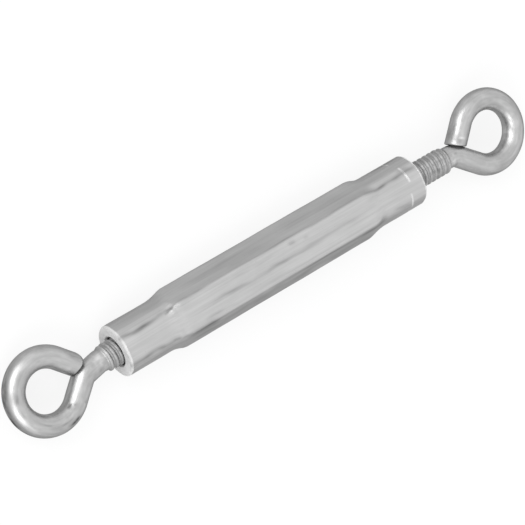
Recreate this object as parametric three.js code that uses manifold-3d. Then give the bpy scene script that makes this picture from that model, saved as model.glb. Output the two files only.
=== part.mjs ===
// Rigging turnbuckle, eye and eye. All sizes in millimetres, +Z up.
//
// Frame: X runs along the screw axis, towards the left-hand end, and Z is square to two of the
// barrel's flats. The origin is on the screw axis, half-way between the outer ends of the eyes.
//
// Pieces: one aluminium barrel, a hexagon tube with both ends swaged round and tapped, and two
// eye bolts bent from wire with rolled threads, one right-hand and one left-hand.

import * as THREE from "three";
import { mergeVertices, toCreasedNormals } from "three/addons/utils/BufferGeometryUtils.js";
import Module from "manifold-3d";

const wasm = await Module();
wasm.setup();

// ---- Driving sizes --------------------------------------------------------------------------

// Barrel
const BARREL_LENGTH = 63.5;
const ACROSS_FLATS = 9.525; // 3/8 in hexagon
const CORNER_RADIUS = 0.9;
const SWAGED_ACROSS_FLATS = 8.98; // nearly round, with what is left of the hexagon's corners
const SWAGED_CORNER_RADIUS = 3.8;
const SWAGED_LENGTH = 8.7;
const SHOULDER_LENGTH = 3.6; // blend from the swaged end to the hexagon
const RIM_RADIUS = 0.35; // rounded outer edge of each end face
const MOUTH_CHAMFER = 0.2; // at both mouths of the bore
const MARK_OFFSET = 2.9; // ring that tells the left-hand end, measured from that end's face
const MARK_WIDTH = 0.5;
const MARK_DEPTH = 0.06; // into the corners only

// Screw thread, number 10, 24 to the inch
const THREAD_DIAMETER = 4.76;
const THREAD_PITCH = 25.4 / 24;
const THREAD_DEPTH = 0.62;
const POINT_CHAMFER = 0.6; // at the screw's inner end
const RUNOUT_LENGTH = 0.8; // where the crests fade out towards the neck
const SCREW_GAP = 1.5; // between the screws' inner ends, if both were screwed right in
const BORE_CLEARANCE = 0.2; // radial, between the crests and the bore

// Wire
const WIRE_DIAMETER = 3.9;
const BEND_INSIDE_RADIUS = 0.5; // where the shank turns into the eye
const CLOSING_GAP = 0.15; // between the wire's free end and the shank

// The two bolts as bent and as screwed in. Angles are in degrees.
const RIGHT_HAND_BOLT = {
  name: "right_hand_eye_bolt",
  hand: 1,
  exposedThread: 3.0, // outside the barrel
  neckLength: 2.6, // plain wire between the thread and the bend
  neckTilt: 12, // of the neck against the screw axis
  bendAngle: 44.5,
  eyeInnerDiameter: 7.3,
  eyeOffset: 0.15, // centre of the eye beside the screw axis, towards the free end
  eyeRoll: 0, // plane of the eye against the barrel's flats
};
const LEFT_HAND_BOLT = {
  name: "left_hand_eye_bolt",
  hand: -1,
  exposedThread: 8.2,
  neckLength: 0.7,
  neckTilt: 1.4,
  bendAngle: 40.5,
  eyeInnerDiameter: 7.6,
  eyeOffset: 0.55,
  eyeRoll: 5,
};

// ---- Sizes that follow ----------------------------------------------------------------------

const THREAD_LENGTH = (BARREL_LENGTH - SCREW_GAP) / 2;
const THREAD_RADIUS = THREAD_DIAMETER / 2;
const ROOT_RADIUS = THREAD_RADIUS - THREAD_DEPTH;
const BORE_RADIUS = THREAD_RADIUS + BORE_CLEARANCE;
const WIRE_RADIUS = WIRE_DIAMETER / 2;
const BEND_RADIUS = BEND_INSIDE_RADIUS + WIRE_RADIUS; // centreline
const OVERSHOOT = 1; // how far a cutting body runs past what it cuts

// Facets of the round shapes
const SIDES = 36;
const WIRE_SIDES = 14;
const WIRE_STEPS = 60;
const THREAD_STEPS = 16; // per turn
const SHOULDER_STEPS = 4;

const aluminium = new THREE.MeshStandardMaterial({ color: 0xbcbec0, roughness: 0.35, metalness: 1 });
const zincPlate = new THREE.MeshStandardMaterial({ color: 0xb2b1ae, roughness: 0.3, metalness: 1 });

// ---- Solids and meshes ----------------------------------------------------------------------

function solid(geometry) {
  const bare = new THREE.BufferGeometry();
  bare.setAttribute("position", geometry.getAttribute("position"));
  bare.setIndex(geometry.getIndex());
  const merged = mergeVertices(bare, 1e-4);
  return new wasm.Manifold(
    new wasm.Mesh({
      numProp: 3,
      vertProperties: new Float32Array(merged.getAttribute("position").array),
      triVerts: new Uint32Array(merged.getIndex().array),
    }),
  );
}

function mesh(name, body, material) {
  const { vertProperties, triVerts } = body.getMesh();
  const geometry = new THREE.BufferGeometry();
  geometry.setAttribute("position", new THREE.BufferAttribute(vertProperties, 3));
  geometry.setIndex(new THREE.BufferAttribute(triVerts, 1));
  const result = new THREE.Mesh(toCreasedNormals(geometry, Math.PI / 6), material);
  result.name = name;
  return result;
}

// A body turned about X from points [radius, x]. The profile starts and ends on the axis, or
// closes on itself.
function turned(points) {
  const profile = points.map(([radius, x]) => new THREE.Vector2(radius, x));
  return solid(new THREE.LatheGeometry(profile, SIDES).rotateZ(-Math.PI / 2));
}

// ---- Barrel ---------------------------------------------------------------------------------

const SIXTH = Math.PI / 3;
const COLUMN_SHARES = [-5, -4, -3, -1, 1, 3, 4, 5].map((column) => column / 6); // of half a sixth
COLUMN_SHARES.push(1);

// Distance from the axis to a hexagon with rounded corners, at an angle from a flat's middle.
function hexagonRadius(fromFlat, acrossFlats, cornerRadius) {
  const inner = acrossFlats / 2 - cornerRadius; // the hexagon that the corners are rounded about
  const flatEnd = Math.atan2(inner * Math.tan(SIXTH / 2), acrossFlats / 2);
  if (Math.abs(fromFlat) <= flatEnd) return acrossFlats / 2 / Math.cos(fromFlat);
  const centre = inner / Math.cos(SIXTH / 2);
  const fromCorner = SIXTH / 2 - Math.abs(fromFlat);
  const across = centre * Math.sin(fromCorner);
  return centre * Math.cos(fromCorner) + Math.sqrt(cornerRadius ** 2 - across ** 2);
}

const bodyRadius = (fromFlat) => hexagonRadius(fromFlat, ACROSS_FLATS, CORNER_RADIUS);
const swagedRadius = (fromFlat) => hexagonRadius(fromFlat, SWAGED_ACROSS_FLATS, SWAGED_CORNER_RADIUS);

// Cross-sections from one face to the middle: distance from the face, share of hexagon, and how
// far the rim's rounding pulls the outline in.
function endStations() {
  const stations = [0, Math.PI / 4, Math.PI / 2].map((turn) => ({
    depth: RIM_RADIUS * (1 - Math.cos(turn)),
    hexagon: 0,
    inset: RIM_RADIUS * (1 - Math.sin(turn)),
  }));
  for (let step = 0; step <= SHOULDER_STEPS; step++) {
    const share = step / SHOULDER_STEPS;
    stations.push({
      depth: SWAGED_LENGTH + share * SHOULDER_LENGTH,
      hexagon: THREE.MathUtils.smoothstep(share, 0, 1),
      inset: 0,
    });
  }
  return stations;
}

function barrelBlank() {
  const half = BARREL_LENGTH / 2;
  const near = endStations().map((s) => ({ ...s, x: half - s.depth }));
  const far = endStations().map((s) => ({ ...s, x: s.depth - half }));
  const rows = [...near, ...far.reverse()];
  const columns = 6 * COLUMN_SHARES.length;
  const blank = new THREE.CylinderGeometry(1, 1, 1, columns, rows.length - 1);
  const position = blank.getAttribute("position");
  const point = new THREE.Vector3();
  for (let i = 0; i < position.count; i++) {
    point.fromBufferAttribute(position, i);
    const row = rows[Math.round((0.5 - point.y) * (rows.length - 1))];
    const turn = Math.atan2(point.x, point.z) / (2 * Math.PI);
    const column = (Math.round(turn * columns) + columns) % columns;
    const fromFlat = (COLUMN_SHARES[column % COLUMN_SHARES.length] * SIXTH) / 2;
    const sector = Math.floor(column / COLUMN_SHARES.length);
    const angle = (sector + 0.5) * SIXTH + fromFlat; // flats face +Z and -Z
    const outline = THREE.MathUtils.lerp(swagedRadius(fromFlat), bodyRadius(fromFlat), row.hexagon);
    const radius = Math.hypot(point.x, point.z) < 0.5 ? 0 : outline - row.inset;
    position.setXYZ(i, row.x, radius * Math.cos(angle), radius * Math.sin(angle));
  }
  return solid(blank);
}

function bore() {
  const face = BARREL_LENGTH / 2;
  const mouth = BORE_RADIUS + MOUTH_CHAMFER;
  return turned([
    [0, -face - OVERSHOOT],
    [mouth + OVERSHOOT, -face - OVERSHOOT],
    [BORE_RADIUS, -face + MOUTH_CHAMFER],
    [BORE_RADIUS, face - MOUTH_CHAMFER],
    [mouth + OVERSHOOT, face + OVERSHOOT],
    [0, face + OVERSHOOT],
  ]);
}

// A shallow ring groove near the left-hand end, deep enough to nick the swaged corners.
function handMark() {
  const middle = BARREL_LENGTH / 2 - MARK_OFFSET;
  const bottom = swagedRadius(SIXTH / 2) - MARK_DEPTH;
  return turned([
    [bottom, middle - MARK_WIDTH / 2],
    [bottom + OVERSHOOT, middle - MARK_WIDTH / 2],
    [bottom + OVERSHOOT, middle + MARK_WIDTH / 2],
    [bottom, middle + MARK_WIDTH / 2],
    [bottom, middle - MARK_WIDTH / 2],
  ]);
}

function makeBarrel() {
  return mesh("barrel", barrelBlank().subtract(bore()).subtract(handMark()), aluminium);
}

// ---- Eye bolts ------------------------------------------------------------------------------

// In its own frame a bolt lies along +X from its eye's side of the thread: the thread ends at
// x = 0 and runs back to x = -THREAD_LENGTH, and the eye is at positive x in the XY plane.

// A helical ridge wound past both ends of the screw, as one closed body. Each turn of the strip
// shares its last edge with the next turn's first edge.
function helicalBody(hand) {
  const profile = [
    { radius: ROOT_RADIUS, along: 0 },
    { radius: THREAD_RADIUS, along: 0.42 },
    { radius: THREAD_RADIUS, along: 0.58 },
  ];
  const turns = Math.ceil(THREAD_LENGTH / THREAD_PITCH) + 2;
  const start = -THREAD_LENGTH - THREAD_PITCH;
  const strips = turns * THREAD_STEPS;
  const points = [];
  for (let step = 0; step <= strips; step++) {
    const turn = step / THREAD_STEPS;
    const angle = hand * turn * 2 * Math.PI;
    for (const { radius, along } of profile) {
      const x = start + (turn + along) * THREAD_PITCH;
      points.push(x, radius * Math.cos(angle), radius * Math.sin(angle));
    }
  }
  const vertex = (step, k) => {
    const [owner, point] = k < profile.length ? [step, k] : [step + THREAD_STEPS, 0];
    return owner * profile.length + point;
  };
  const triangles = [];
  for (let step = 0; step < strips - THREAD_STEPS; step++) {
    for (let k = 0; k < profile.length; k++) {
      const [a, b] = [vertex(step, k), vertex(step, k + 1)];
      const [c, d] = [vertex(step + 1, k), vertex(step + 1, k + 1)];
      triangles.push(a, c, b, b, c, d);
    }
  }
  closeHelixEnd(0, start, true);
  closeHelixEnd(strips - THREAD_STEPS, start + turns * THREAD_PITCH, false);
  if (hand < 0) triangles.reverse();
  const geometry = new THREE.BufferGeometry();
  geometry.setAttribute("position", new THREE.Float32BufferAttribute(points, 3));
  geometry.setIndex(triangles);
  return solid(geometry);

  // A fan from a point on the axis to the open edge: one turn of the root and one profile.
  function closeHelixEnd(first, x, isStart) {
    const centre = points.push(x, 0, 0) / 3 - 1;
    const edge = [];
    for (let step = 0; step < THREAD_STEPS; step++) edge.push(vertex(first + step, 0));
    for (let k = profile.length; k > 0; k--) edge.push(vertex(first, k));
    edge.forEach((from, i) => {
      const to = edge[(i + 1) % edge.length];
      triangles.push(...(isStart ? [centre, to, from] : [centre, from, to]));
    });
  }
}

// The blank that the ridge is trimmed to: chamfered at the point, faded out at the neck.
function threadBlank() {
  const rise = THREAD_DEPTH + OVERSHOOT;
  const chamfer = (rise * POINT_CHAMFER) / THREAD_DEPTH;
  const runout = (rise * RUNOUT_LENGTH) / THREAD_DEPTH;
  return turned([
    [0, -THREAD_LENGTH],
    [ROOT_RADIUS, -THREAD_LENGTH],
    [ROOT_RADIUS + rise, -THREAD_LENGTH + chamfer],
    [ROOT_RADIUS + rise, -runout],
    [ROOT_RADIUS, 0],
    [0, 0],
  ]);
}

// The wire's line in the bolt's frame: the angles of the neck and of the straight that meets the
// eye, the middle of the bend between them, the radius of the eye's centreline, and how far out
// the eye's centre is. The straight is as long as it takes to bring that centre to its offset.
function wireLayout({ neckLength, neckTilt, bendAngle, eyeInnerDiameter, eyeOffset }) {
  const tilt = THREE.MathUtils.degToRad(neckTilt);
  const bend = THREE.MathUtils.degToRad(bendAngle);
  const bendMiddle = new THREE.Vector2(
    neckLength * Math.cos(tilt),
    -neckLength * Math.sin(tilt) - BEND_RADIUS,
  );
  const eyeRadius = eyeInnerDiameter / 2 + WIRE_RADIUS;
  const across = bendMiddle.y + (eyeRadius + BEND_RADIUS) * Math.cos(bend) - eyeOffset;
  const straight = across / Math.sin(bend);
  const reach = (eyeRadius + BEND_RADIUS) * Math.sin(bend) + straight * Math.cos(bend);
  return { tilt, bend, bendMiddle, eyeRadius, eyeCentre: bendMiddle.x + reach };
}

class PlanarCurve extends THREE.Curve {
  constructor(path) {
    super();
    this.path = path;
  }

  getPoint(t, target = new THREE.Vector3()) {
    const { x, y } = this.path.getPointAt(t);
    return target.set(x, y, 0);
  }
}

// The wire from inside the thread, round the eye, and back square to the shank.
function bentWire(bolt) {
  const { tilt, bend, bendMiddle, eyeRadius, eyeCentre } = wireLayout(bolt);
  const quarter = Math.PI / 2;
  const route = new THREE.Path();
  route.moveTo(-RUNOUT_LENGTH, 0);
  route.lineTo(0, 0);
  route.absarc(0, -BEND_RADIUS, BEND_RADIUS, quarter, quarter - tilt, true);
  route.absarc(bendMiddle.x, bendMiddle.y, BEND_RADIUS, quarter - tilt, quarter - bend, true);
  route.absarc(eyeCentre, bolt.eyeOffset, eyeRadius, -quarter - bend, 2 * quarter - bend, false);
  const tail = eyeRadius - WIRE_RADIUS - CLOSING_GAP;
  const { x, y } = route.currentPoint;
  route.lineTo(x - tail * Math.sin(bend), y - tail * Math.cos(bend));

  const section = new THREE.Shape().absarc(0, 0, WIRE_RADIUS, 0, 2 * Math.PI);
  return solid(
    new THREE.ExtrudeGeometry(section, {
      extrudePath: new PlanarCurve(route),
      steps: WIRE_STEPS,
      curveSegments: WIRE_SIDES / 2, // on each half of the round section
    }),
  );
}

function makeEyeBolt(bolt) {
  const thread = helicalBody(bolt.hand).intersect(threadBlank());
  const body = mesh(bolt.name, thread.add(bentWire(bolt)), zincPlate);
  body.position.x = BARREL_LENGTH / 2 + bolt.exposedThread;
  return body;
}

// ---- Assembly -------------------------------------------------------------------------------

// From the barrel's middle to the outer end of an eye.
function outerEnd(bolt) {
  const { eyeRadius, eyeCentre } = wireLayout(bolt);
  return BARREL_LENGTH / 2 + bolt.exposedThread + eyeCentre + eyeRadius + WIRE_RADIUS;
}

// One end of the turnbuckle: rolled about the screw axis, after facing +X or -X.
function endGroup(bolt, facing) {
  const turnedRound = new THREE.Group();
  turnedRound.rotation.y = facing < 0 ? Math.PI : 0;
  turnedRound.add(makeEyeBolt(bolt));
  const rolled = new THREE.Group();
  rolled.rotation.x = THREE.MathUtils.degToRad(bolt.eyeRoll);
  rolled.add(turnedRound);
  return rolled;
}

const turnbuckle = new THREE.Group();
turnbuckle.position.x = (outerEnd(RIGHT_HAND_BOLT) - outerEnd(LEFT_HAND_BOLT)) / 2;
turnbuckle.add(makeBarrel());
turnbuckle.add(endGroup(RIGHT_HAND_BOLT, -1));
turnbuckle.add(endGroup(LEFT_HAND_BOLT, 1));

const part = new THREE.Group();
part.add(turnbuckle);

export default part;
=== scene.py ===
import math

import bpy
import numpy as np
from mathutils import Matrix, Vector


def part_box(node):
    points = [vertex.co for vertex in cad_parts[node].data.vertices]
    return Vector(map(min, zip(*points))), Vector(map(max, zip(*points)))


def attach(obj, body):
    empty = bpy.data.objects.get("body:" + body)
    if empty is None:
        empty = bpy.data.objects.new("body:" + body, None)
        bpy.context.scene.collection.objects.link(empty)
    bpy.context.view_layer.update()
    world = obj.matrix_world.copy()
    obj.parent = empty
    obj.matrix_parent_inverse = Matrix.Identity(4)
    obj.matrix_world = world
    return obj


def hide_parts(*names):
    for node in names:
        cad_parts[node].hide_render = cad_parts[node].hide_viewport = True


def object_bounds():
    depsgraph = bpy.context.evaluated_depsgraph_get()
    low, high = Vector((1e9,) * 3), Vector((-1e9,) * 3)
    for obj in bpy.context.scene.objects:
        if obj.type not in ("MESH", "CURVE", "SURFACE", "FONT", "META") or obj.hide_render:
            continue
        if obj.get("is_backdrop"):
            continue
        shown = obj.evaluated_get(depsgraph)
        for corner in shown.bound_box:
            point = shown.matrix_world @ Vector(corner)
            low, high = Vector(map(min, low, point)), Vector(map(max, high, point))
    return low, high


# Looks of the rigging turnbuckle: a swaged aluminium barrel and two zinc-plated eye bolts.
# Lengths are in millimetres in the named values and in the shape functions, and are turned into
# metres where a mesh, a material, a lamp or the camera is made.

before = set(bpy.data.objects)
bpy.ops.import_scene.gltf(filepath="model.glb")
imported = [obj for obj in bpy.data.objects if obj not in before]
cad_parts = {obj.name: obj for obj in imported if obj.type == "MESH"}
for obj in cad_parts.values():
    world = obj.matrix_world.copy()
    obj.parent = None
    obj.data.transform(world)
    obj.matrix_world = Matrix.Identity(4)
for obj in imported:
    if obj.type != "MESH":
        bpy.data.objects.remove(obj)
cad_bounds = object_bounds()

MM = 0.001

# ---- Sizes, as in the frame -----------------------------------------------------------------

barrel_low, barrel_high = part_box("barrel")
BARREL_MIDDLE = (barrel_low.x + barrel_high.x) / 2 / MM
BARREL_HALF = (barrel_high.x - barrel_low.x) / 2 / MM
ACROSS_FLATS = (barrel_high.z - barrel_low.z) / MM
CORNER_RADIUS = 0.85
SWAGED_ACROSS_FLATS = 8.98
SWAGED_CORNER_RADIUS = 3.8
SWAGED_LENGTH = 8.7
SHOULDER_LENGTH = 3.6
RIM_RADIUS = 0.35
MOUTH_CHAMFER = 0.25

THREAD_RADIUS = 2.38
THREAD_PITCH = 25.4 / 24
THREAD_DEPTH = 0.4  # crests worn round and roots filled by the plate
CREST_START = 0.9  # from 0 in the root to 1 at the middle of the crest
SCREW_GAP = 1.5  # between the two points with both bolts screwed right in
THREAD_LENGTH = BARREL_HALF - SCREW_GAP / 2
POINT_CHAMFER = 0.6
RUNOUT_START, RUNOUT_END = -1.0, 0.1  # along from the thread's end
BORE_CLEARANCE = 0.2
BORE_RADIUS = THREAD_RADIUS + BORE_CLEARANCE
TAPPED_DEPTH = 0.25
TAPPED_LENGTH = 12

WIRE_RADIUS = 1.95
BEND_INSIDE_RADIUS = 0.5
BEND_RADIUS = BEND_INSIDE_RADIUS + WIRE_RADIUS
CUT_EDGE_RADIUS = 0.25
CUT_GAP = 0.08
LEAN_LENGTH = 4

# exposed is the thread that shows at rest, neck the straight wire after it, eye_radius that of
# the centreline, and offset how far the eye's middle lies off the screw's axis. Angles are in
# degrees: tilt and bend of the wire, roll of the eye's plane, and cut_lean, which tips the cut
# face so that the wire's outer side is longer. cut_round rounds that side over.
RIGHT_HAND_BOLT = {
    "node": "right_hand_eye_bolt",
    "body": "right_hand_eye",
    "hand": 1,
    "facing": -1,
    "exposed": 3.0,
    "neck": 2.6,
    "tilt": 12,
    "bend": 44.5,
    "eye_radius": 3.65 + WIRE_RADIUS,
    "offset": 0.15,
    "roll": 0,
    "cut_lean": 14,
    "cut_round": 1.3,
}
LEFT_HAND_BOLT = {
    "node": "left_hand_eye_bolt",
    "body": "left_hand_eye",
    "hand": -1,
    "facing": 1,
    "exposed": 8.2,
    "neck": 0.7,
    "tilt": 1.4,
    "bend": 40.5,
    "eye_radius": 3.8 + WIRE_RADIUS,
    "offset": 0.55,
    "roll": 5,
    "cut_lean": 10,
    "cut_round": 0.1,
}

# ---- Wear, and painted shade on the eye bolts -----------------------------------------------

# Each row is one place: how far along the piece, at what angle round it in degrees, half its
# length, half its width, and how strong it is. Along the barrel is measured from its middle, and
# along a bolt from the screw's point. Angle 90 is the top of the barrel, 0 the inside of an eye.

# How deep the swaging dies and handling have pressed the metal in, and with a minus raised it
BARREL_DENTS = (
    (-21.6, 57, 0.8, 0.45, 0.09),
    (-20.9, 50, 0.35, 0.6, -0.035),
    (-21.2, 69, 0.35, 0.8, -0.03),
    (-20.6, 63, 0.8, 0.35, 0.04),
    (-22.9, 57, 0.7, 0.35, 0.04),
    (-20.6, 90, 0.6, 2.0, 0.025),
    (-20.5, 123, 0.8, 0.45, 0.08),
    (22.0, 123, 1.0, 0.45, 0.035),
    (3.4, 69, 0.5, 0.3, 0.02),
    (6.3, 71, 0.4, 0.25, 0.015),
    (-21.5, 182, 0.8, 0.45, 0.08),
    (21.2, 239, 0.8, 0.45, 0.08),
    (-21.0, 301, 0.8, 0.45, 0.07),
    (21.6, 359, 0.7, 0.45, 0.09),
    (-21.2, 1, 0.7, 0.45, 0.08),
)

# Dark streaks and smears on the aluminium, and with a minus light ones
BARREL_STAINS = (
    (-7.0, 90.5, 10.5, 0.48, 0.32),
    (-10.5, 89.5, 3.5, 0.22, 0.25),
    (-1.0, 91.5, 2.5, 0.30, 0.22),
    (11.0, 89.5, 6.5, 0.40, 0.30),
    (3.0, 92.0, 4.0, 0.30, 0.20),
    (6.0, 86.0, 3.0, 0.25, 0.14),
    (-14.8, 112, 1.6, 0.20, 0.30),
    (-7.0, 113, 12.0, 0.25, 0.14),
    (9.0, 113, 9.0, 0.22, 0.10),
    (-7.5, 70, 1.5, 0.16, 0.20),
    (-2.5, 70, 1.6, 0.16, 0.20),
    (3.4, 69, 0.7, 0.35, 0.30),
    (6.3, 71, 0.5, 0.25, 0.22),
    (-28.9, 58.5, 3.3, 0.45, 0.95),
    (-24.4, 57.5, 3.2, 0.40, 0.65),
    (-21.4, 59.5, 0.9, 0.40, 0.80),
    (-22.4, 63, 0.4, 0.22, 0.40),
    (-17.0, 56.5, 2.6, 0.24, 0.45),
    (-5.0, 56.0, 9.0, 0.16, 0.25),
    (11.0, 56.5, 11.0, 0.22, 0.42),
    (22.4, 57.0, 2.2, 0.30, 0.55),
    (25.3, 56.5, 2.2, 0.30, 0.60),
    (29.0, 58.0, 2.4, 0.45, 0.75),
    (29.0, 49.0, 1.2, 0.30, 0.35),
    (-30.0, 125, 2.2, 0.55, 0.50),
    (-27.0, 120, 2.0, 0.50, 0.45),
    (-24.4, 124, 1.5, 0.45, 0.40),
    (-22.5, 120.5, 0.7, 0.35, 0.45),
    (26.3, 122, 1.8, 0.40, 0.35),
    (-10.0, 26, 5.5, 0.45, 0.20),
    (11.0, 26, 6.0, 0.45, 0.16),
    (0.0, 34, 19.0, 0.20, 0.12),
    (-17.0, 132, 2.8, 0.70, 0.95),
    (-15.5, 158, 3.5, 0.70, 0.40),
    (-10.0, 148, 2.6, 0.60, 0.25),
    (-4.4, 155, 2.0, 0.70, 0.35),
    (4.2, 157, 2.4, 0.60, 0.30),
    (13.0, 158, 3.0, 0.70, 0.30),
    (19.6, 133, 2.6, 0.60, 0.65),
    (18.5, 167, 1.8, 0.40, 0.45),
    (11.0, 128, 9.0, 0.30, 0.45),
    (6.0, 147, 14.0, 0.40, 0.18),
    (-9.0, 141, 8.0, 0.20, 0.25),
    (-3.7, 133, 1.4, 0.70, -0.35),
    (-12.0, 135, 2.4, 0.60, -0.25),
    (2.0, 138, 2.4, 0.60, -0.20),
    (8.0, 165, 2.5, 1.00, -0.25),
    (28.0, 150, 3.6, 1.80, -0.22),
    (-28.5, 152, 2.6, 1.40, -0.15),
    (-8.0, 210, 12.0, 0.40, 0.34),
    (7.0, 205, 5.0, 0.35, 0.26),
    (6.0, 268, 14.0, 0.40, 0.36),
    (-12.0, 331, 8.0, 0.35, 0.34),
    (9.0, 334, 6.0, 0.40, 0.26),
    (-28.0, 181, 3.0, 0.38, 0.60),
    (-27.0, 300, 3.6, 0.40, 0.60),
    (27.0, 241, 3.2, 0.40, 0.65),
    (27.5, 0, 3.0, 0.40, 0.60),
)

# Cuts across the hexagon's corners near the left-hand end: angle, place from the middle, and
# how bright each has stayed
MARK_CUTS = (
    (0, 28.0, 0.5),
    (60, 28.9, 1.7),
    (124, 28.4, 0.7),
    (180, 28.7, 0.8),
    (240, 28.2, 0.5),
    (300, 28.6, 0.9),
)
MARK_WIDTH = 0.5
MARK_DEPTH = 0.07
MARK_REACH = 21  # degrees to each side of its middle
MARK_SLANT = 0.25  # along, for each radian round

# How much darker the thread's roots are made: dirt, and painted shade in the recesses
GROOVE_DIRT_AND_SHADE = 0.25
# Stains and painted shade on the right-hand bolt
RIGHT_HAND_STAINS_AND_SHADE = (
    (31.6, 60, 0.5, 3.0, -0.35),
    (32.3, 110, 0.5, 0.35, 0.50),
    (33.2, 60, 0.4, 0.50, 0.40),
    (34.6, 90, 0.7, 0.30, 0.30),
    (38.4, 45, 1.0, 0.35, 0.40),
    (38.8, 118, 0.3, 0.25, 0.55),
    (40.3, 50, 1.1, 0.45, 1.00),
    (39.9, 75, 0.40, 0.60, 0.80),
    (42.0, 118, 1.1, 0.32, 1.15),
    (44.0, 96, 2.2, 0.18, 0.55),
    (46.8, 84, 2.4, 0.18, 0.50),
    (45.5, 130, 2.0, 0.25, 0.35),
    (49.5, 70, 2.0, 0.25, 0.25),
    # Painted shade: a dark spot where the eye reflects the gap between the two soft boxes
    (53.9, 100, 0.8, 0.50, 0.50),
    (55.0, 75, 2.0, 0.30, 0.25),
    # Painted reflection of shaded floor: a dark band down the eye's outer side
    (53.0, 176, 5.5, 0.80, 1.00),
    (60.5, 60, 2.5, 0.22, 0.22),
    (62.5, 100, 2.5, 0.25, 0.22),
    (66.0, 70, 1.6, 0.30, 0.28),
    (67.6, 110, 1.0, 0.50, 0.40),
    (68.4, 60, 0.6, 0.50, 0.35),
)
# Stains and painted shade on the left-hand bolt
LEFT_HAND_STAINS_AND_SHADE = (
    (31.3, 90, 0.5, 4.0, -0.38),
    (32.0, 70, 0.3, 0.25, 0.40),
    (36.0, 120, 2.0, 0.40, 0.20),
    # Painted shade on the eye's inner wall: two dark patches, with a painted lighter patch between them
    (45.4, 20, 1.5, 0.60, 0.55),
    (49.0, 20, 1.0, 0.80, -0.55),
    (52.0, 20, 1.4, 0.50, 0.55),
    (56.0, 60, 3.0, 0.25, 0.22),
    (60.0, 100, 2.5, 0.20, 0.22),
    (66.8, 150, 0.9, 0.60, 0.75),
    (67.9, 128, 0.5, 0.45, 0.75),
    (67.4, 172, 0.7, 0.60, 0.70),
    (68.3, 150, 0.4, 0.50, 0.60),
    (68.4, 100, 0.4, 0.40, 0.40),
    (67.9, 90, 0.2, 0.80, -0.50),
)

# How uneven the drawn metal is: height, waves round the piece, and radians for each mm along it
BARREL_WAVES = ((0.012, 2, 0.31), (0.008, -5, 0.83))
WIRE_WAVES = ((0.012, 2, 0.35), (0.006, 1, 1.7))

# ---- Shape helpers --------------------------------------------------------------------------

SHARP_ANGLE = 40  # degrees
FADED = 0.01  # share of a mark's strength below which it is left out


def smooth_step(x, start, end):
    t = np.clip((x - start) / (end - start), 0, 1)
    return t * t * (3 - 2 * t)


def angle_from(angle, degrees):
    """How far round each angle is from a place, from half a turn back to half a turn on."""
    return (angle - math.radians(degrees) + math.pi) % (2 * math.pi) - math.pi


def wander(along, turn):
    """How far a mark has strayed sideways, in half-widths, at a place along it."""
    return 0.4 * math.sin(0.5 * along + turn / 20) + 0.12 * math.sin(1.7 * along)


def sum_of_marks(marks, along, angle, radius):
    """Sum of the marks at one place along a piece and at angles round it."""
    total = np.zeros_like(angle)
    for place, turn, half_length, half_width, amount in marks:
        near = math.exp(-(((along - place) / half_length) ** 4))
        if near < FADED:
            continue
        across = angle_from(angle, turn) * radius / half_width - wander(along, turn)
        total += amount * near * np.exp(-(across**2))
    return total


def unevenness(waves, along, angle):
    return sum(height * np.sin(count * angle + rate * along) for height, count, rate in waves)


def rounding(depth, radius):
    """How far an edge rounded to a radius has drawn in, at a depth behind the face."""
    short = np.maximum(radius - depth, 0)
    return radius - np.sqrt(np.maximum(radius**2 - short**2, 0))


def store(mesh, name, kind, field, values):
    attribute = mesh.attributes.new(name, kind, "POINT")
    attribute.data.foreach_set(field, values.astype(np.float32).ravel())


class Skin:
    """Rings of points round a piece, each with its place in the metal's own straight grain.

    The angle turns right-handed about the way that the rings go, so every face looks outward.
    """

    def __init__(self, sides):
        self.sides = sides
        self.angle = np.linspace(0, 2 * math.pi, sides, endpoint=False)
        self.rings, self.grain, self.stain, self.fresh = [], [], [], []

    def add(self, ring, grain, stain=0, fresh=0):
        self.rings.append(ring)
        self.grain.append(grain)
        self.stain.append(stain + np.zeros(self.sides))
        self.fresh.append(fresh + np.zeros(self.sides))

    def piece(self, name, is_loop):
        """A closed skin: its last ring meets its first, or each end is closed with a fan."""
        count, sides = len(self.rings), self.sides
        ends = () if is_loop else (0, count - 1)
        points, grain = np.concatenate(self.rings), np.concatenate(self.grain)
        stain, fresh = np.concatenate(self.stain), np.concatenate(self.fresh)
        faces = []
        for row in range(count if is_loop else count - 1):
            here, there = row * sides, (row + 1) % count * sides
            for side in range(sides):
                after = (side + 1) % sides
                faces.append((here + side, here + after, there + after, there + side))
        for row in ends:
            centre = len(points)
            points = np.vstack([points, self.rings[row].mean(0)])
            grain = np.vstack([grain, self.grain[row].mean(0)])
            stain, fresh = np.append(stain, 0), np.append(fresh, self.fresh[row].mean())
            for side in range(sides):
                edge = (row * sides + side, row * sides + (side + 1) % sides)
                faces.append((centre, *edge) if row else (centre, *edge[::-1]))
        mesh = bpy.data.meshes.new(name)
        mesh.from_pydata((points * MM).tolist(), [], faces)
        store(mesh, "grain", "FLOAT_VECTOR", "vector", grain * MM)
        store(mesh, "stain", "FLOAT", "value", stain)
        store(mesh, "fresh", "FLOAT", "value", fresh)
        mesh.update()
        mesh.shade_smooth()
        mesh.set_sharp_from_angle(angle=math.radians(SHARP_ANGLE))
        piece = bpy.data.objects.new(name, mesh)
        bpy.context.scene.collection.objects.link(piece)
        return piece


# ---- Barrel ---------------------------------------------------------------------------------

BARREL_SIDES = 240
SIXTH = math.pi / 3
COARSE, FINE, FINEST = 0.3, 0.1, 0.05  # between stations: straight stretches, shoulders, marks
SHOULDER_LEAD, SHOULDER_TRAIL = 1.5, 1.0  # how far fine stations go past a shoulder's ends
MARK_MARGIN = 0.65
BORE_SPACING = 0.8


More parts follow.
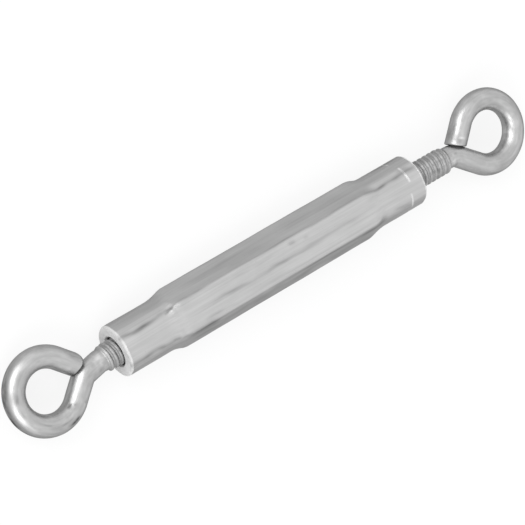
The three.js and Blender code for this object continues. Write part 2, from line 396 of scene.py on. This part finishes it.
def hexagon_radius(angle, across_flats, corner_radius):
    """Distance from the axis to a hexagon with rounded corners. A corner is at angle 0."""
    from_flat = np.mod(angle, SIXTH) - SIXTH / 2
    inner = across_flats / 2 - corner_radius
    flat_end = math.atan2(inner * math.tan(SIXTH / 2), across_flats / 2)
    flat = across_flats / 2 / np.cos(from_flat)
    centre = inner / math.cos(SIXTH / 2)
    from_corner = SIXTH / 2 - np.abs(from_flat)
    across = centre * np.sin(from_corner)
    corner = centre * np.cos(from_corner) + np.sqrt(np.maximum(corner_radius**2 - across**2, 0))
    return np.where(np.abs(from_flat) <= flat_end, flat, corner)


def barrel_stations():
    """Places along the barrel, from its middle, close together where its shape changes."""
    shoulder_start = BARREL_HALF - SWAGED_LENGTH - SHOULDER_LENGTH - SHOULDER_LEAD
    shoulder_end = BARREL_HALF - SWAGED_LENGTH + SHOULDER_TRAIL
    marks_start = min(place for _, place, _ in MARK_CUTS) - MARK_MARGIN
    marks_end = max(place for _, place, _ in MARK_CUTS) + MARK_MARGIN
    stretches = [
        np.arange(0, shoulder_start, COARSE),
        np.arange(shoulder_start, shoulder_end, FINE),
        np.arange(shoulder_end, marks_start, COARSE),
        np.arange(marks_start, marks_end, FINEST),
        np.arange(marks_end, BARREL_HALF - RIM_RADIUS, COARSE),
        BARREL_HALF - RIM_RADIUS * (1 - np.cos(np.linspace(0, math.pi / 2, 7))),
    ]
    right = np.unique(np.round(np.concatenate(stretches), 4))
    return np.concatenate([-right[::-1], right[1:]])


def mark_cuts(x, angle):
    """Depth share and brightness of the cuts across the corners near the left-hand end."""
    depth, bright = np.zeros_like(angle), np.zeros_like(angle)
    for turn, place, freshness in MARK_CUTS:
        away = angle_from(angle, turn)
        from_middle = x - place - MARK_SLANT * away
        across = np.clip(1 - (from_middle / (MARK_WIDTH / 2)) ** 2, 0, 1)
        cut = across * np.clip(1 - (away / math.radians(MARK_REACH)) ** 2, 0, 1) ** 0.5
        depth += cut
        bright += freshness * cut
    return depth, bright


def outer_row(x, angle):
    """Radius, stain and freshly cut share of the barrel's outside at one station."""
    depth = BARREL_HALF - abs(x)
    hexagon = smooth_step(depth, SWAGED_LENGTH, SWAGED_LENGTH + SHOULDER_LENGTH)
    body = hexagon_radius(angle, ACROSS_FLATS, CORNER_RADIUS)
    swaged = hexagon_radius(angle, SWAGED_ACROSS_FLATS, SWAGED_CORNER_RADIUS)
    radius = swaged + (body - swaged) * hexagon
    cut, fresh = mark_cuts(x, angle)
    radius -= MARK_DEPTH * cut + rounding(depth, RIM_RADIUS)
    radius -= sum_of_marks(BARREL_DENTS, x, angle, ACROSS_FLATS / 2)
    radius += unevenness(BARREL_WAVES, x, angle)
    fresh = np.maximum(fresh, float(depth < RIM_RADIUS))
    return radius, sum_of_marks(BARREL_STAINS, x, angle, ACROSS_FLATS / 2), fresh


def bore_rows(angle):
    """Radii down the bore from the left-hand mouth to the other, tapped by each end."""
    tapped = np.arange(BARREL_HALF - MOUTH_CHAMFER, BARREL_HALF - TAPPED_LENGTH, -THREAD_PITCH / 10)
    plain = np.arange(tapped[-1] - BORE_SPACING, BORE_SPACING - tapped[-1], -BORE_SPACING)
    for x in [*tapped, *plain, *(-tapped[::-1])]:
        hand = -1 if x > 0 else 1
        turn = (x / THREAD_PITCH - hand * angle / (2 * math.pi)) % 1
        groove = TAPPED_DEPTH * (1 - np.abs(2 * turn - 1))
        entry = smooth_step(BARREL_HALF - abs(x), MOUTH_CHAMFER, 2 * MOUTH_CHAMFER)
        yield x, BORE_RADIUS + groove * entry * (abs(x) >= tapped[-1])


def make_barrel():
    skin = Skin(BARREL_SIDES)
    angle = skin.angle

    def add(x, radius, stain=0, fresh=0):
        across, up = radius * np.cos(angle), radius * np.sin(angle)
        along = np.full_like(angle, x)
        ring = np.stack([along + BARREL_MIDDLE, across, up], 1)
        skin.add(ring, np.stack([across, up, along], 1), stain, fresh)

    mouth = BORE_RADIUS + MOUTH_CHAMFER
    shares = np.linspace(0, 1, 9)
    for x in barrel_stations():
        add(x, *outer_row(x, angle))
    rim = outer_row(BARREL_HALF, angle)[0]
    for share in shares[1:]:
        add(BARREL_HALF, rim + (mouth - rim) * share, fresh=1)
    for x, radius in bore_rows(angle):
        add(x, radius + np.zeros_like(angle))
    rim = outer_row(-BARREL_HALF, angle)[0]
    for share in shares[:-1]:
        add(-BARREL_HALF, mouth + (rim - mouth) * share, fresh=1)
    piece = skin.piece("swaged_barrel", is_loop=True)
    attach(piece, "barrel")
    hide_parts("barrel")
    return piece


# ---- Eye bolts ------------------------------------------------------------------------------

WIRE_SIDES = 72
THREAD_SPACING = THREAD_PITCH / 12
BEND_SPACING = 0.1
STRAIGHT_SPACING = 0.15
EYE_SPACING = 0.2
END_SPACING = 0.12
LEAST_SPACING = 0.02
END_RINGS = 16


class Route:
    """The wire's centreline in the plane of the eye, walked from the screw's point."""

    def __init__(self, x):
        self.at, self.heading, self.length = np.array([x, 0.0]), 0.0, 0.0
        self.points = [(self.at, self.heading, self.length)]

    def step(self, length, turn):
        middle = self.heading + turn / 2
        self.at = self.at + length * np.array([math.cos(middle), math.sin(middle)])
        self.heading += turn
        self.length += length
        self.points.append((self.at, self.heading, self.length))

    def straight(self, length, spacing):
        count = max(1, math.ceil(length / spacing))
        for _ in range(count):
            self.step(length / count, 0)

    def arc(self, radius, turn, spacing):
        count = max(1, math.ceil(radius * abs(turn) / spacing))
        for _ in range(count):
            self.step(radius * abs(turn) / count, turn / count)


def wire_route(bolt):
    """The same line as the frame's bolt: thread, tilted neck, bend, straight, eye, free end."""
    tilt, bend, eye_radius = math.radians(bolt["tilt"]), math.radians(bolt["bend"]), bolt["eye_radius"]
    bend_middle = -bolt["neck"] * math.sin(tilt) - BEND_RADIUS
    across = bend_middle + (eye_radius + BEND_RADIUS) * math.cos(bend) - bolt["offset"]
    route = Route(-THREAD_LENGTH)
    route.straight(THREAD_LENGTH, THREAD_SPACING)
    route.arc(BEND_RADIUS, -tilt, BEND_SPACING)
    route.straight(bolt["neck"], STRAIGHT_SPACING)
    route.arc(BEND_RADIUS, tilt - bend, BEND_SPACING)
    route.straight(across / math.sin(bend), STRAIGHT_SPACING)
    route.arc(eye_radius, 1.5 * math.pi, EYE_SPACING)
    route.straight(eye_radius - WIRE_RADIUS - CUT_GAP, END_SPACING)
    return route.points


def bolt_radius(length, angle, bolt, total):
    """Radius of the bolt, and shares of thread groove and of threaded length, at a place on it."""
    from_neck = length - THREAD_LENGTH
    root = THREAD_RADIUS - THREAD_DEPTH
    turn = from_neck / THREAD_PITCH - bolt["hand"] * angle / (2 * math.pi)
    flank = 0.5 - 0.5 * np.cos(2 * math.pi * turn)
    thread = root + THREAD_DEPTH * smooth_step(flank, 0, CREST_START)
    thread = np.minimum(thread, root + THREAD_DEPTH * length / POINT_CHAMFER)
    wire = WIRE_RADIUS + unevenness(WIRE_WAVES, length, angle)
    plain = smooth_step(from_neck, RUNOUT_START, RUNOUT_END)
    radius = thread + (wire - thread) * plain
    edge = CUT_EDGE_RADIUS + bolt["cut_round"] * np.maximum(-np.cos(angle), 0) ** 2
    return radius - rounding(total - length, edge), (1 - flank) * (1 - plain), 1 - plain


def route_with_cut_end(bolt):
    """The route, closer together where the free end's edge is rounded."""
    route = wire_route(bolt)
    at, heading, total = route[-1]
    reach = CUT_EDGE_RADIUS + bolt["cut_round"]
    ahead = np.array([math.cos(heading), math.sin(heading)])
    route = [point for point in route if point[2] < total - reach - LEAST_SPACING]
    for turn in np.linspace(0, math.pi / 2, END_RINGS):
        back = reach * (1 - math.sin(turn))
        route.append((at - ahead * back, heading, total - back))
    return route, total


def make_eye_bolt(bolt, stains):
    skin = Skin(WIRE_SIDES)
    angle = skin.angle
    route, total = route_with_cut_end(bolt)
    facing, lean = bolt["facing"], math.tan(math.radians(bolt["cut_lean"]))
    level, rise = math.cos(math.radians(bolt["roll"])), math.sin(math.radians(bolt["roll"]))
    for at, heading, length in route:
        radius, groove, threaded = bolt_radius(length, angle, bolt, total)
        inward, lift = radius * np.cos(angle), radius * np.sin(angle)
        leaning = smooth_step(length, total - LEAN_LENGTH, total - CUT_EDGE_RADIUS)
        forward = leaning * (WIRE_RADIUS - inward) * lean
        x = at[0] - inward * math.sin(heading) + forward * math.cos(heading)
        x = facing * (x + BARREL_HALF + bolt["exposed"]) + BARREL_MIDDLE
        y = at[1] + inward * math.cos(heading) + forward * math.sin(heading)
        z = facing * lift
        ring = np.stack([x, y * level - z * rise, y * rise + z * level], 1)
        grain = np.stack([inward, lift, np.full_like(angle, length)], 1)
        # Darkening from the rows of marks, some of them painted shade, and from dirt with painted shade
        # in the thread's roots
        stain = sum_of_marks(stains, length, facing * angle, WIRE_RADIUS) + GROOVE_DIRT_AND_SHADE * groove
        skin.add(ring, grain, stain, max(threaded, float(length == total)))
    piece = skin.piece(bolt["node"].replace("_bolt", "_wire"), is_loop=False)
    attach(piece, bolt["body"])
    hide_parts(bolt["node"])
    return piece


# ---- Materials ------------------------------------------------------------------------------

ALUMINIUM_BASE, ALUMINIUM_EDGE = 0.37, 0.55  # how light it is face on, and its tint at the edge
ZINC_BASE, ZINC_EDGE = 0.343, 0.5


class Nodes:
    """Short names for making and joining a material's nodes."""

    def __init__(self, name):
        self.material = bpy.data.materials.new(name)
        self.material.use_nodes = True
        self.tree = self.material.node_tree
        self.shader = self.tree.nodes["Principled BSDF"]

    def make(self, kind, inputs=(), **settings):
        node = self.tree.nodes.new(kind)
        for key, value in settings.items():
            setattr(node, key, value)
        for key, value in dict(inputs).items():
            if isinstance(value, bpy.types.NodeSocket):
                self.tree.links.new(value, node.inputs[key])
            else:
                node.inputs[key].default_value = value
        return node

    def attribute(self, name, output="Fac"):
        return self.make("ShaderNodeAttribute", attribute_name=name).outputs[output]

    def math(self, operation, *values):
        return self.make("ShaderNodeMath", enumerate(values), operation=operation).outputs[0]

    def product(self, first, *others):
        for other in others:
            first = self.math("MULTIPLY", first, other)
        return first

    def range(self, value, low, high, to_low, to_high):
        inputs = {"Value": value, "From Min": low, "From Max": high, "To Min": to_low, "To Max": to_high}
        return self.make("ShaderNodeMapRange", inputs).outputs["Result"]

    def noise(self, vector, scale, stretch=(1, 1, 1), detail=3.0):
        """Noise in the metal's grain: features per millimetre, squeezed by stretch."""
        mapping = self.make("ShaderNodeMapping", {"Vector": vector, "Scale": stretch})
        inputs = {"Vector": mapping.outputs[0], "Scale": scale / MM, "Detail": detail}
        return self.make("ShaderNodeTexNoise", inputs).outputs["Fac"]

    def grey(self, base, amount):
        """A grey made lighter or darker by a factor that varies over the surface."""
        scaled = self.math("MULTIPLY", base, amount)
        return self.make("ShaderNodeCombineColor", enumerate([scaled] * 3)).outputs[0]

    def bump(self, height, strength, distance):
        inputs = {"Strength": strength, "Distance": distance * MM, "Height": height}
        return self.make("ShaderNodeBump", inputs).outputs[0]

    def set(self, **values):
        for key, value in values.items():
            socket = self.shader.inputs[key.replace("_", " ")]
            if isinstance(value, bpy.types.NodeSocket):
                self.tree.links.new(value, socket)
            else:
                socket.default_value = value


def aluminium():
    """Drawn tube: fine lengthways lines, long soft streaks, smears, pits, and sawn end faces."""
    n = Nodes("drawn_aluminium")
    grain = n.attribute("grain", "Vector")
    fresh = n.attribute("fresh")
    lines = n.noise(grain, 4.5, (1, 1, 0.018), detail=5)
    streaks = n.noise(grain, 0.9, (1, 1, 0.05))
    clouds = n.noise(grain, 0.3, (1, 1, 0.5), detail=4)
    pits = n.noise(grain, 3.2, (1, 1, 0.7), detail=2)
    breaks = n.noise(grain, 1.0, (1, 1, 0.12), detail=4)
    smear_and_shade = n.product(n.attribute("stain"), n.range(breaks, 0.35, 0.62, 0.6, 1.3))
    amount = n.product(
        n.range(streaks, 0.5, 0.7, 1.0, 0.9),
        n.range(clouds, 0.3, 0.7, 0.95, 1.04),
        n.range(lines, 0.3, 0.7, 0.935, 1.06),
        n.range(pits, 0.7, 0.76, 1.0, 0.88),
        n.math("SUBTRACT", 1.0, n.product(smear_and_shade, 0.5)),
        n.math("ADD", 1.0, n.product(fresh, 0.6)),
    )
    rough = n.math("ADD", n.range(lines, 0.3, 0.7, 0.34, 0.42), n.product(fresh, 0.5))
    height = n.math("ADD", n.product(lines, 0.5), n.product(pits, 0.35))
    n.set(Base_Color=n.grey(ALUMINIUM_BASE, amount), Metallic=1.0)
    n.set(Specular_Tint=(ALUMINIUM_EDGE, ALUMINIUM_EDGE, ALUMINIUM_EDGE, 1.0))
    n.set(Roughness=rough, Normal=n.bump(height, 0.3, 0.02))
    return n.material


def zinc():
    """Bright plate on drawn wire: smooth, with faint die lines and small dull patches."""
    n = Nodes("zinc_plate")
    grain = n.attribute("grain", "Vector")
    fresh = n.attribute("fresh")
    lines = n.noise(grain, 4.0, (1, 1, 0.04))
    mottle = n.noise(grain, 1.1, (1, 1, 0.6), detail=4)
    patches = n.noise(grain, 0.3, (1, 1, 0.7), detail=2)
    dull = n.product(n.range(patches, 0.52, 0.66, 0, 1), n.range(mottle, 0.45, 0.62, 0, 1))
    flow = n.noise(grain, 1.3, (1, 1, 0.14), detail=4)
    # The attribute read here holds real stains and painted shade: darker thread roots, and dark and
    # light patches painted where the eyes reflect shade
    smear_and_shade = n.product(n.attribute("stain"), n.range(mottle, 0.38, 0.62, 0.2, 1.5))
    amount = n.product(
        n.range(mottle, 0.3, 0.7, 0.88, 1.09),
        n.range(dull, 0, 1, 1.0, 0.84),
        n.range(lines, 0.3, 0.7, 0.96, 1.035),
        n.range(flow, 0.35, 0.65, 0.88, 1.07),
        n.math("SUBTRACT", 1.0, n.product(smear_and_shade, 0.5)),
    )
    rough = n.math("ADD", n.range(mottle, 0.3, 0.7, 0.36, 0.43), n.product(dull, 0.1))
    rough = n.math("ADD", rough, n.product(fresh, 0.25))
    height = n.math("ADD", n.product(lines, 0.3), n.product(mottle, 0.5))
    n.set(Base_Color=n.grey(ZINC_BASE, amount), Metallic=1.0)
    n.set(Specular_Tint=(ZINC_EDGE, ZINC_EDGE, ZINC_EDGE, 1.0))
    n.set(Roughness=rough, Normal=n.bump(height, 0.25, 0.03))
    return n.material


# ---- Camera, lights and floor ---------------------------------------------------------------

VIEW_FROM_AXIS = 63.87  # degrees between the line of sight and the screw axis
VIEW_TILT = 13.8  # degrees that the line of sight leans from +Z towards +Y
VIEW_ROLL = 30.26  # degrees that the screw axis climbs in the picture
VIEW_DISTANCE = 480.2
VIEW_SHIFT_RIGHT = 0.691  # of the barrel's middle, from the middle of the picture
VIEW_SHIFT_UP = -0.135
FRAME_WIDTH = 525 / 5.99  # what the picture spans at the barrel's middle
SENSOR_WIDTH = 36.0

# Name, direction from the barrel, width and watts
SOFT_BOXES = (
    ("left_soft_box", (-0.5, 0.57, 0.64), 440, 2.6),
    ("near_soft_box", (-0.66, -0.34, 0.66), 380, 2.0),
)
SOFT_BOX_DISTANCE = 700
FLOOR_HALF = 3000
FLOOR_ALBEDO = 0.1
FLOOR_GLOW = 0.82  # a light table under a thin white sheet
SKY_LOW, SKY_HIGH = 1.4, 1.56


def view_axes():
    """The picture's right and up, and the way to the viewer."""
    lean, along, roll = (math.radians(a) for a in (VIEW_TILT, VIEW_FROM_AXIS, VIEW_ROLL))
    screw = Vector((1, 0, 0))
    side = Vector((0, math.cos(lean), -math.sin(lean)))
    over = Vector((0, math.sin(lean), math.cos(lean)))
    toward = over * math.sin(along) - screw * math.cos(along)
    level = screw * math.sin(along) + over * math.cos(along)
    right = level * math.cos(roll) - side * math.sin(roll)
    up = level * math.sin(roll) + side * math.cos(roll)
    return right, up, toward


def make_camera():
    right, up, toward = view_axes()
    aim = Vector((BARREL_MIDDLE, 0, 0)) - right * VIEW_SHIFT_RIGHT - up * VIEW_SHIFT_UP
    data = bpy.data.cameras.new("camera")
    data.sensor_width = SENSOR_WIDTH
    data.lens = SENSOR_WIDTH * VIEW_DISTANCE / FRAME_WIDTH
    data.clip_start = 10 * MM
    camera = bpy.data.objects.new("camera", data)
    turn = Matrix((right, up, toward)).transposed().to_4x4()
    camera.matrix_world = Matrix.Translation((aim + toward * VIEW_DISTANCE) * MM) @ turn
    bpy.context.scene.collection.objects.link(camera)
    bpy.context.scene.camera = camera


def make_soft_box(name, direction, width, watts):
    """A round lamp that faces the barrel from a direction."""
    data = bpy.data.lights.new(name, "AREA")
    data.shape = "DISK"
    data.size = width * MM
    data.energy = watts
    lamp = bpy.data.objects.new(name, data)
    away = Vector(direction).normalized()
    lamp.location = away * SOFT_BOX_DISTANCE * MM
    lamp.rotation_euler = away.to_track_quat("Z", "Y").to_euler()
    bpy.context.scene.collection.objects.link(lamp)


def make_sky():
    """A white tent round the turnbuckle, a little brighter overhead."""
    world = bpy.data.worlds.new("tent")
    world.use_nodes = True
    tree = world.node_tree
    background = tree.nodes["Background"]
    background.inputs["Color"].default_value = (1, 1, 1, 1)
    place = tree.nodes.new("ShaderNodeTexCoord")
    parts = tree.nodes.new("ShaderNodeSeparateXYZ")
    ramp = tree.nodes.new("ShaderNodeMapRange")
    tree.links.new(place.outputs["Generated"], parts.inputs[0])
    tree.links.new(parts.outputs["Z"], ramp.inputs["Value"])
    ramp.inputs["To Min"].default_value = SKY_LOW
    ramp.inputs["To Max"].default_value = SKY_HIGH
    tree.links.new(ramp.outputs["Result"], background.inputs["Strength"])
    bpy.context.scene.world = world


def make_floor():
    """A pale matt sheet, lit from below, that the barrel lies on."""
    half = FLOOR_HALF * MM
    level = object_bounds()[0][2]
    mesh = bpy.data.meshes.new("floor")
    corners = [(x * half, y * half, level) for x, y in ((-1, -1), (1, -1), (1, 1), (-1, 1))]
    mesh.from_pydata(corners, [], [(0, 1, 2, 3)])
    floor = bpy.data.objects.new("floor", mesh)
    bpy.context.scene.collection.objects.link(floor)
    n = Nodes("pale_floor")
    n.set(Base_Color=(FLOOR_ALBEDO, FLOOR_ALBEDO, FLOOR_ALBEDO, 1.0), Roughness=0.9)
    n.set(Specular_IOR_Level=0.0, Emission_Color=(1, 1, 1, 1), Emission_Strength=FLOOR_GLOW)
    mesh.materials.append(n.material)
    floor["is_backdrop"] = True


def main():
    barrel = make_barrel()
    barrel.data.materials.append(aluminium())
    plate = zinc()
    for bolt, stains in ((RIGHT_HAND_BOLT, RIGHT_HAND_STAINS_AND_SHADE), (LEFT_HAND_BOLT, LEFT_HAND_STAINS_AND_SHADE)):
        make_eye_bolt(bolt, stains).data.materials.append(plate)
    make_camera()
    make_sky()
    make_floor()
    for name, direction, width, watts in SOFT_BOXES:
        make_soft_box(name, direction, width, watts)
    bpy.context.scene.view_settings.view_transform = "Standard"


main()

boxes = {"cad": cad_bounds, "visual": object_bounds()}
boxes = {name: [[float(v) for v in corner] for corner in box] for name, box in boxes.items()}
